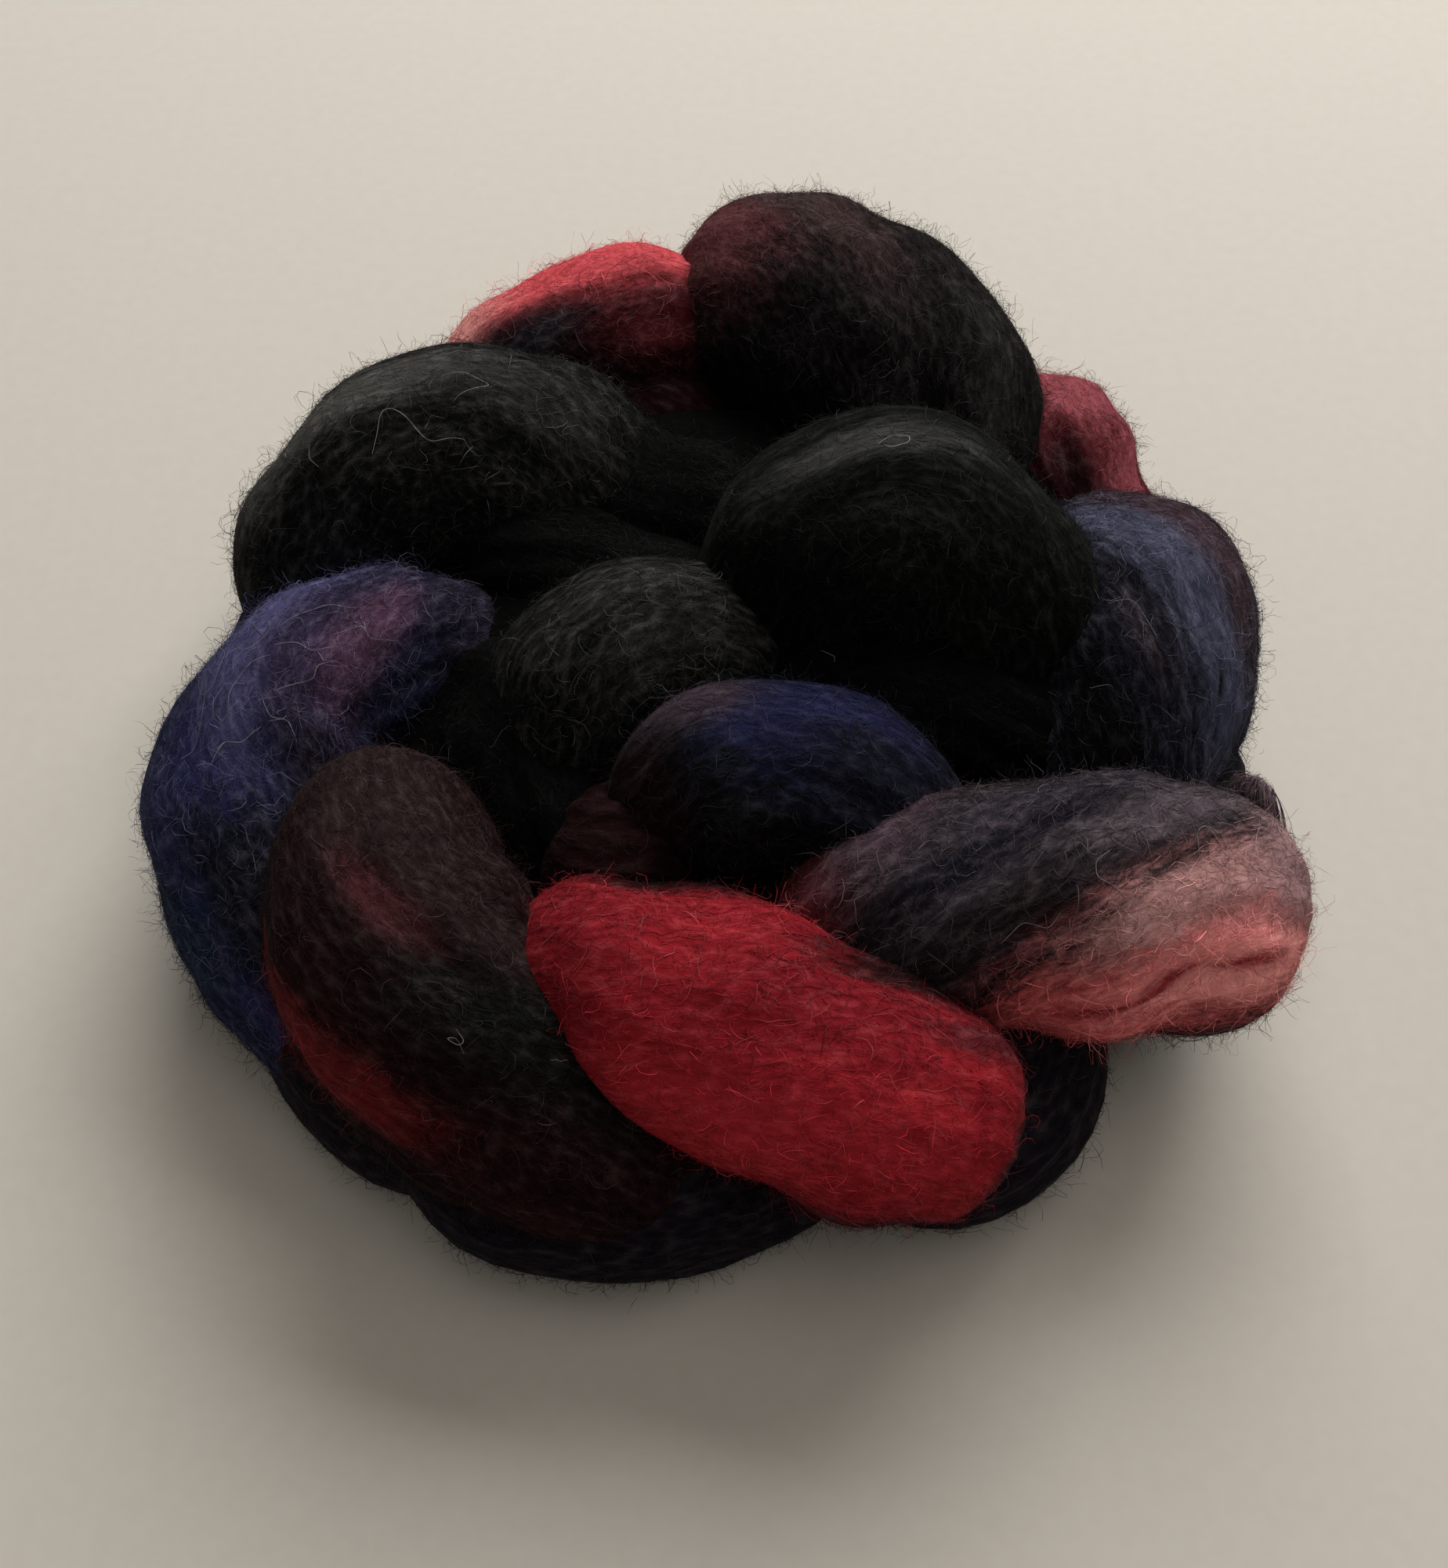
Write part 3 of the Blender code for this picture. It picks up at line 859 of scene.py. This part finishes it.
def new_ball(name, corners):
    """A ball of radius 1, with its poles up and down and its own map, renamed lanes."""
    bpy.ops.object.select_all(action="DESELECT")
    bpy.ops.mesh.primitive_uv_sphere_add(segments=corners[0], ring_count=corners[1], radius=1.0)
    piece = bpy.context.active_object
    piece.name = piece.data.name = name
    piece.data.uv_layers[0].name = "lanes"
    return piece


def fold_piece(fold, corners):
    """One fold of the strand: a ball, drawn out along the fold's line and combed with lanes."""
    piece = new_ball("fold_" + fold.name, corners)
    mesh = piece.data
    ball = np.zeros(len(mesh.vertices) * 3)
    mesh.vertices.foreach_get("co", ball)
    ball = ball.reshape(-1, 3)
    along = np.clip(ball[:, 2], -1.0, 1.0)
    turn = np.arctan2(ball[:, 1], ball[:, 0])
    points = fold_surface(fold, along, turn)
    points[:, 2] = np.maximum(points[:, 2], 0.0)
    mesh.vertices.foreach_set("co", (points * MM).ravel())

    # The ball's own map goes once round it. On its seam it says which way round a corner is.
    lanes = mesh.uv_layers[0].uv
    map_places = np.zeros(len(mesh.loops) * 2)
    lanes.foreach_get("vector", map_places)
    map_turn = (map_places.reshape(-1, 2)[:, 0] - 0.5) * FULL_TURN
    corner_verts = np.zeros(len(mesh.loops), int)
    mesh.loops.foreach_get("vertex_index", corner_verts)
    corner_turn = turn[corner_verts]
    corner_turn = corner_turn + np.round((map_turn - corner_turn) / FULL_TURN) * FULL_TURN
    run, across = lane(fold, along[corner_verts], corner_turn)
    lanes.foreach_set("vector", (np.stack([run, across], 1) * MM).ravel())

    give_colours(mesh, "dye_drawn_in", dye_at(fold, along, turn, -RUN_OUT))
    give_colours(mesh, "dye_run_out", dye_at(fold, along, turn, RUN_OUT))
    give_colours(mesh, "loose_wool", loose_wool(fold, dye_at(fold, along, turn, 0.0)))
    mesh.update()
    mesh.shade_smooth()
    return piece


def core_piece():
    """The wool deep in the bun, behind the gaps between the folds, coloured the deepest black,
    partly as painted shade in those gaps.
    """
    piece = new_ball("core", CORE)
    mesh = piece.data
    for vert in mesh.vertices:
        vert.co = [MM * (centre + radius * place + shift) for centre, radius, place, shift
                   in zip(CORE_CENTRE, CORE_RADII, vert.co, LAY)]
    for corner, loop in zip(mesh.uv_layers[0].uv, mesh.loops):
        corner.vector = mesh.vertices[loop.vertex_index].co.xy
    dark = np.tile(linear(DYES["deep_black_and_shade"]), (len(mesh.vertices), 1))
    for attribute in ("dye_drawn_in", "dye_run_out", "loose_wool"):
        give_colours(mesh, attribute, dark)
    mesh.shade_smooth()
    return piece


# ---------------------------------------------------------------- fibres

def surface_lots(fold, per_cm2, dice):
    """Random places on the part of a fold that can be seen, as along and turn."""
    per_cm2 = per_cm2 * (RIM_SHARE if fold.name in RIM else 1.0)
    table = run_of(fold)
    length = table.run[-1]
    width = max(fold.widths)
    lots = int(per_cm2 * length * width * np.pi * COVERED_SHARE / 100.0)
    run = dice.uniform(BARE_END, 1.0 - BARE_END, lots) * length
    along = np.interp(run, table.run, table.along)
    turn = dice.uniform(-COVERED, COVERED, lots)
    kept = dice.uniform(0, 1, lots) < half_width(fold, along) / (0.5 * width)
    along, turn = along[kept], turn[kept]
    seen = ~buried(fold_surface(fold, along, turn, SEEN_OVER), fold)
    return along[seen], turn[seen]


def ribbons(name, middle, out, width, colour):
    """Many thin strips in one mesh. Middle lines are rows of points in mm."""
    count, stations = middle.shape[:2]
    ahead = unit(np.gradient(middle, axis=1))
    across = unit(np.cross(out, ahead))
    edge = across * (0.5 * width)[..., None]
    points = np.stack([middle - edge, middle + edge], axis=2).reshape(-1, 3)
    points[:, 2] = np.maximum(points[:, 2], TABLE_GAP)
    first = np.arange(count)[:, None] * 2 * stations + np.arange(stations - 1)[None, :] * 2
    quads = np.stack([first, first + 2, first + 3, first + 1], axis=-1).reshape(-1, 4)
    mesh = bpy.data.meshes.new(name)
    mesh.vertices.add(len(points))
    mesh.vertices.foreach_set("co", (points * MM).astype(np.float32).ravel())
    mesh.loops.add(quads.size)
    mesh.loops.foreach_set("vertex_index", quads.astype(np.int32).ravel())
    mesh.polygons.add(len(quads))
    mesh.polygons.foreach_set("loop_start", np.arange(0, quads.size, 4, dtype=np.int32))
    mesh.update(calc_edges=True)
    give_colours(mesh, "dye", np.repeat(colour[:, :, None, :], 2, axis=2))
    mesh.shade_smooth()
    piece = bpy.data.objects.new(name, mesh)
    bpy.context.scene.collection.objects.link(piece)
    return piece


def tapering(count, stations, width):
    """Widths along each fibre, thin at both ends."""
    share = np.linspace(0.0, 1.0, stations)
    return width[:, None] * (0.25 + 0.75 * np.sin(np.pi * share) ** 0.5)[None, :]


def facing_about(out, stations, dice):
    """Which way each fibre's flat side faces: outwards on the whole, but any way by chance."""
    facing = unit(0.6 * dice.normal(0.0, 1.0, (len(out), 3)) + out)
    return np.repeat(facing[:, None, :], stations, axis=1)


def lying_fibres(fold, dice):
    """Fibres combed along the fold, on its surface: middle lines, outward, widths, colours."""
    along, turn = surface_lots(fold, FIBRES_PER_CM2, dice)
    count = len(along)
    table = run_of(fold)
    length = dice.uniform(*LYING_LENGTHS, count)
    run, across = lane(fold, along, turn)
    share = np.linspace(-0.5, 0.5, FIBRE_STATIONS)[None, :]
    # Most keep near their lane, and the wild ones go anyhow.
    wild = dice.uniform(0, 1, count) < WILD_SHARE
    astray = np.where(wild, dice.normal(0.0, WILD_ASTRAY, count),
                      dice.normal(0.0, COMBED_ASTRAY, count))
    astray = np.tan(np.radians(astray.clip(-MOST_ASTRAY, MOST_ASTRAY)))[:, None]
    length = length / np.sqrt(1.0 + astray[:, 0] ** 2)
    path_run = run[:, None] + length[:, None] * share
    path_run = np.clip(path_run, END_MARGIN, table.run[-1] - END_MARGIN)
    sway = np.zeros((count, FIBRE_STATIONS))
    for crimp in CRIMPS:
        wave = dice.uniform(crimp.short, crimp.long, count)[:, None]
        height = crimp.height * dice.uniform(0.3, 1.4, count)[:, None]
        phase = dice.uniform(0, 1, count)[:, None]
        sway += height * np.sin(FULL_TURN * (path_run / wave + phase))
    path_across = across[:, None] + astray * (path_run - run[:, None]) + sway
    path_along = np.interp(path_run, table.run, table.along)
    drift = np.interp(path_along, table.along, table.drift)
    reach = np.maximum(half_width(fold, path_along), 1.0)
    path_turn = np.clip((path_across + drift) / reach, -MOST_TURN, MOST_TURN)
    # The middle rises a little and both ends are tucked in.
    rise = dice.uniform(0.0, LYING_RISE, count)[:, None] * (1.0 - (2.0 * share) ** 4)
    middle = fold_surface(fold, path_along, path_turn, rise - SUNK_LYING)
    out = fold_outward(fold, path_along, path_turn)
    ahead = unit(np.gradient(middle, axis=1))
    tilt = np.radians(dice.normal(0.0, 12.0, count))[:, None, None]
    out = out * np.cos(tilt) + np.cross(out, ahead) * np.sin(tilt)
    width = tapering(count, FIBRE_STATIONS, dice.uniform(*LYING_WIDTHS, count))
    colour = dye_at(fold, path_along, path_turn, dice.uniform(-1, 1, count)[:, None])
    return middle, out, width, depth_of_dye(fold, colour, dice, LYING_UPTAKE)


def nap_fibres(fold, dice):
    """Short ends that rise from the surface and bend over, any way round."""
    along, turn = surface_lots(fold, NAP_PER_CM2, dice)
    count = len(along)
    root = fold_surface(fold, along, turn, -SUNK_NAP)
    out = fold_outward(fold, along, turn)
    way = unit(np.cross(out, dice.normal(0.0, 1.0, (count, 3))))
    bend = unit(np.cross(out, way))
    length = dice.uniform(*NAP_LENGTHS, count)[:, None]
    lowest, highest = NAP_HEIGHTS
    height = (lowest + dice.gamma(2.0, 0.24, count)).clip(lowest, highest)[:, None]
    sway = dice.normal(0.0, 0.22, count)[:, None] * length
    bent = root + 0.62 * height * out + 0.42 * length * way + sway * bend
    tip_height = height * out * dice.uniform(0.2, 1.0, count)[:, None]
    middle = np.stack([root, bent, root + tip_height + length * way], axis=1)
    facing = facing_about(out, NAP_STATIONS, dice)
    width = dice.uniform(*NAP_WIDTHS, count)[:, None] * np.array([[1.0, 0.9, 0.35]])
    colour = dye_of_each(fold, along, turn, NAP_STATIONS, dice)
    return middle, facing, width, depth_of_dye(fold, colour, dice, NAP_UPTAKE)


def standing_fibres(fold, dice, kind, per_cm2, uptake):
    """Fibre ends and loops that stand off the surface, as lying_fibres gives them."""
    along, turn = surface_lots(fold, per_cm2, dice)
    count = len(along)
    root = fold_surface(fold, along, turn, -SUNK_ROOT)
    out = fold_outward(fold, along, turn)
    step = 0.02
    ahead = unit(fold_surface(fold, np.clip(along + step, -1, 1), turn)
                 - fold_surface(fold, np.clip(along - step, -1, 1), turn))
    across = np.cross(out, ahead)
    heading = dice.uniform(0.0, FULL_TURN, count)
    way = ahead * np.cos(heading)[:, None] + across * np.sin(heading)[:, None]
    sideways = np.cross(out, way)
    length = dice.uniform(*kind.lengths, count)[:, None]
    # Most are low, and a few reach the full height.
    lowest, highest = kind.heights
    height = lowest + dice.gamma(2.0, 0.22 * (highest - lowest), count)
    height = height[:, None].clip(lowest, highest)
    looped = dice.uniform(0, 1, count)[:, None] < kind.loops
    share = np.linspace(0.0, 1.0, STANDING_STATIONS)[None, :]
    rise = np.where(looped, height * np.sin(np.pi * share), height * share ** 0.8)
    swing = dice.uniform(0.3, 1.1, count)[:, None]
    curls = dice.uniform(0.5, 1.3, count)[:, None]
    phase = dice.uniform(0, ANY_PHASE, count)[:, None]
    curl = CURL * length * swing * np.sin(FULL_TURN * (share * curls) + phase)
    curl = curl - curl[:, :1]
    forward = length * (share - 0.12 * np.sin(FULL_TURN * share))
    middle = (root[:, None, :] + way[:, None, :] * forward[..., None]
              + out[:, None, :] * rise[..., None] + sideways[:, None, :] * curl[..., None])
    facing = facing_about(out, STANDING_STATIONS, dice)
    width = tapering(count, STANDING_STATIONS, dice.uniform(*kind.widths, count))
    colour = dye_of_each(fold, along, turn, STANDING_STATIONS, dice)
    return middle, facing, width, depth_of_dye(fold, colour, dice, uptake)


def fuzz_fibres(fold, dice):
    """A loose net of curly fibres close to the surface, and a halo of them well off it."""
    share = LOOSE_WOOL_AND_SHEEN.get(fold.name, LOOSE_WOOL_AND_SHEEN["elsewhere"]).share
    least, most = NET_LIMITS
    net_per_cm2 = NET.per_cm2 * min(max(share, least), most)
    halo_per_cm2 = HALO.per_cm2 * THIN_HALO.get(fold.name, 1.0)
    net = standing_fibres(fold, dice, NET, net_per_cm2, NET_UPTAKE)
    halo = standing_fibres(fold, dice, HALO, halo_per_cm2, HALO_UPTAKE)
    return [np.concatenate(rows) for rows in zip(net, halo)]


def fibre_piece(name, folds, maker, seed):
    """One kind of fibre on several folds, in one piece."""
    dice = np.random.default_rng(seed)
    lots = [maker(fold, dice) for fold in folds]
    return ribbons(name, *[np.concatenate(rows) for rows in zip(*lots)])


def stray_piece():
    """The single long fibres of the STRAYS table, each a smooth curve through its points."""
    dice = np.random.default_rng(STRAY_SEED)
    share = np.linspace(0.0, 1.0, STRAY_STATIONS)
    lots = []
    for stray in STRAYS:
        fold = named_fold(stray.fold)
        points = np.array(stray.points, float)
        knots = np.linspace(0.0, 1.0, len(points))
        along, turn = (np.interp(share, knots, column) for column in points.T)
        for _ in range(6):      # rounds off the corners
            along[1:-1] = 0.25 * (along[:-2] + 2 * along[1:-1] + along[2:])
            turn[1:-1] = 0.25 * (turn[:-2] + 2 * turn[1:-1] + turn[2:])
        along, turn = 2.0 * along - 1.0, np.radians(turn)
        wave = share * dice.uniform(0.8, 2.0) + dice.uniform(0, 1)
        rise = 0.5 + 0.5 * np.sin(FULL_TURN * wave)
        middle = fold_surface(fold, along, turn, 0.2 + 0.6 * rise)
        out = fold_outward(fold, along, turn)
        width = STRAY_WIDTH * (0.4 + 0.6 * np.sin(np.pi * share) ** 0.5)
        shade = np.array(linear(STRAY_COLOUR)) * dice.uniform(*STRAY_DEPTHS)
        lots.append((middle, out, width, np.tile(shade, (STRAY_STATIONS, 1))))
    return ribbons("strays", *[np.stack(rows) for rows in zip(*lots)])


def tuft_piece():
    """A short thumb of dull plum fibres that curls up from the end of the front right fold."""
    dice = np.random.default_rng(TUFT_SEED)
    fold = named_fold("right_front")
    count = TUFT_FIBRES
    along = 2.0 * (TUFT_ALONG + dice.normal(0.0, TUFT_ALONG_SPREAD, count)) - 1.0
    turn = np.radians(TUFT_AROUND + dice.normal(0.0, TUFT_AROUND_SPREAD, count))
    root = fold_surface(fold, along, turn, -TUFT_DEPTH)
    heart = root.mean(axis=0)
    share = np.linspace(0.0, 1.0, TUFT_STATIONS)[None, :, None]
    length = dice.uniform(*TUFT_LENGTHS, count)[:, None, None]
    # It draws together as it rises, leans back, and hooks over at its tip.
    gather = 1.25 - 0.85 * share ** 2.2
    up = unit(np.array(TUFT_LEAN))
    hook = np.array(TUFT_HOOK)
    middle = (heart + (root - heart)[:, None, :] * gather + up * length * np.sin(1.45 * share)
              + hook * length * 0.5 * share ** 2.5
              + dice.normal(0.0, 0.3, (count, 1, 3)) * share ** 1.5)
    facing = unit(dice.normal(0.0, 0.8, (count, 3)) + [0, 0, 1])
    facing = np.repeat(facing[:, None, :], TUFT_STATIONS, axis=1)
    width = tapering(count, TUFT_STATIONS, dice.uniform(*TUFT_WIDTHS, count))
    colour = np.tile(np.array(linear(TUFT_COLOUR)), (count, TUFT_STATIONS, 1))
    return ribbons("tuft", middle, facing, width, depth_of_dye(fold, colour, dice, TUFT_UPTAKE))


# The kinds of fibre that cover the folds: the piece's name, its maker and its first seed.
FIBRE_KINDS = (("fibres_", lying_fibres, 11), ("nap_", nap_fibres, 31), ("fuzz_", fuzz_fibres, 51))

# Each kind of fibre is one piece on each of these groups of folds.
FIBRE_GROUPS = (
    ("back", ("back", "back_left", "back_right")),
    ("left", ("left_upper", "left")),
    ("front", ("front_left", "front")),
    ("right", ("right_front", "right")),
    ("middle", tuple(fold.name for fold in INNER_FOLDS)),
    ("under", RIM),
)


def build_wool():
    """The folds, the core and every kind of fibre."""
    wool = dyed_combed_wool()
    fibre = loose_wool_fibre()
    for fold in OUTER_FOLDS + INNER_FOLDS:
        finish_piece(fold_piece(fold, FINE), wool)
    for fold in UNDER_FOLDS:
        finish_piece(fold_piece(fold, PLAIN), wool)
    finish_piece(core_piece(), wool)
    for number, (group, names) in enumerate(FIBRE_GROUPS):
        folds = [named_fold(name) for name in names]
        for kind, maker, first_seed in FIBRE_KINDS:
            finish_piece(fibre_piece(kind + group, folds, maker, first_seed + number), fibre)
    finish_piece(stray_piece(), fibre)
    finish_piece(tuft_piece(), fibre)


# ---------------------------------------------------------------- studio

# Soft lights: where each hangs and is aimed, its sides in metres, its power in watts, its tint.
Light = namedtuple("Light", "name place aim sides power tint")

LIGHTS = (
    Light("fill", (-0.2, -1.3, 0.55), (0.0, 0.0, 0.0), (1.2, 0.8), 1.1, "#fff4ea"),
    Light("window", (0.32, 1.12, 0.95), (0.0, 0.05, 0.0), (1.3, 0.9), 27.0, "#fffcf8"),
    Light("ceiling", (0.3, 0.0, 1.6), (0.0, 0.0, 0.0), (1.2, 1.2), 4.5, "#fff6ec"),
)
ROOM_TINT = "#efe9e2"
ROOM_STRENGTH = 0.12
FLOOR_SIZE = 6.0
BOARD_DARK = "#cbc6bd"
BOARD_LIGHT = "#d2cec6"

CAMERA_TILT = 58.0          # degrees that it looks down by, as over a table
CAMERA_DISTANCE = 0.318
CAMERA_AIM = (0.00079, -0.01356, 0.0002)
CAMERA_LENS = 37.89         # mm, on a sensor 36 mm wide
CAMERA_SENSOR = 36.0


def build_floor():
    """The wide pale board that the bun lies on."""
    bpy.ops.object.select_all(action="DESELECT")
    bpy.ops.mesh.primitive_plane_add(size=FLOOR_SIZE)
    floor = bpy.context.active_object
    floor.name = "floor"
    floor.data.materials.append(pale_pressed_board())


def build_light(row):
    """Hangs one light, turned towards its aim."""
    light = bpy.data.lights.new(row.name, "AREA")
    light.shape = "RECTANGLE"
    light.size, light.size_y = row.sides
    light.energy = row.power
    light.color = linear(row.tint)
    lamp = bpy.data.objects.new(row.name, light)
    lamp.location = row.place
    towards = Vector(row.aim) - Vector(row.place)
    lamp.rotation_euler = towards.to_track_quat("-Z", "Y").to_euler()
    bpy.context.scene.collection.objects.link(lamp)


def build_studio():
    """The floor, the lights and the dim pale room round them."""
    build_floor()
    for row in LIGHTS:
        build_light(row)
    world = bpy.data.worlds.new("room")
    world.use_nodes = True
    sky = world.node_tree.nodes["Background"]
    sky.inputs["Color"].default_value = (*linear(ROOM_TINT), 1.0)
    sky.inputs["Strength"].default_value = ROOM_STRENGTH
    bpy.context.scene.world = world
    bpy.context.scene.view_settings.view_transform = "Standard"


def build_camera():
    """A camera that looks down on the bun from in front of it."""
    camera = bpy.data.cameras.new("camera")
    camera.lens = CAMERA_LENS
    camera.sensor_width = CAMERA_SENSOR
    eye = bpy.data.objects.new("camera", camera)
    tilt = math.radians(CAMERA_TILT)
    back_and_up = Vector((0.0, -math.cos(tilt), math.sin(tilt)))
    eye.location = Vector(CAMERA_AIM) + CAMERA_DISTANCE * back_and_up
    eye.rotation_euler = (math.radians(90.0 - CAMERA_TILT), 0.0, 0.0)
    bpy.context.scene.collection.objects.link(eye)
    bpy.context.scene.camera = eye


build_wool()
build_studio()
build_camera()
